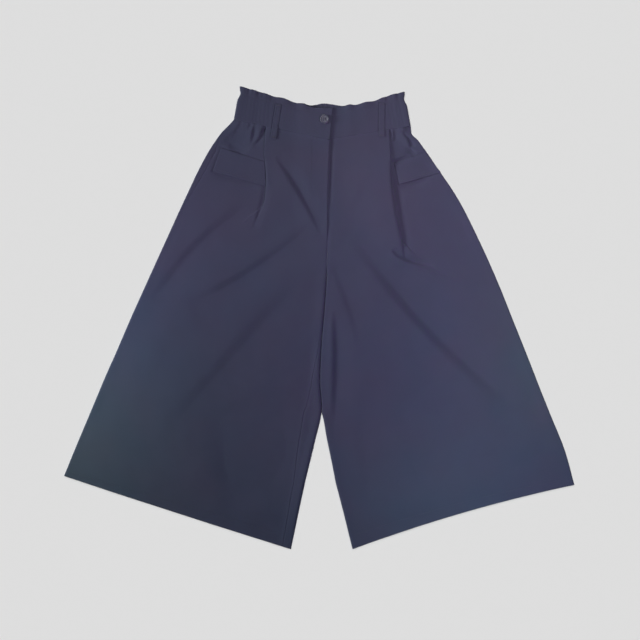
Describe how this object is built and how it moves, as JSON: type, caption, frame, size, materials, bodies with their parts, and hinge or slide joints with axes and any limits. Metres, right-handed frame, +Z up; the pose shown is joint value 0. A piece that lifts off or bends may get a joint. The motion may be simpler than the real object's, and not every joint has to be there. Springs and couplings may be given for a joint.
{
  "type": "culottes",
  "caption": "Wide-legged culottes laid flat with the front up: frilled elasticated waistband, lapped fly with a button, folded pleats, pocket flaps and belt loops.",
  "frame": {"origin": "on the surface that the culottes lie on, under the middle of their outline", "axes": "+X towards the wearer's left side, +Y towards the waist, +Z up out of the front"},
  "size_m": [0.9199, 0.8338, 0.0129],
  "materials": {
    "cloth": "matte woven cloth, navy",
    "button": "satin, grey-blue"
  },
  "bodies": {
    "root": {"front_right": "cloth", "front_left": "cloth", "back_right": "cloth", "back_left": "cloth", "waistband_front_right": "cloth", "waistband_front_left": "cloth", "waistband_back": "cloth", "pocket_flap_right": "cloth", "pocket_flap_left": "cloth", "belt_loop_right": "cloth", "belt_loop_left": "cloth", "button": "button"}
  },
  "joints": []
}
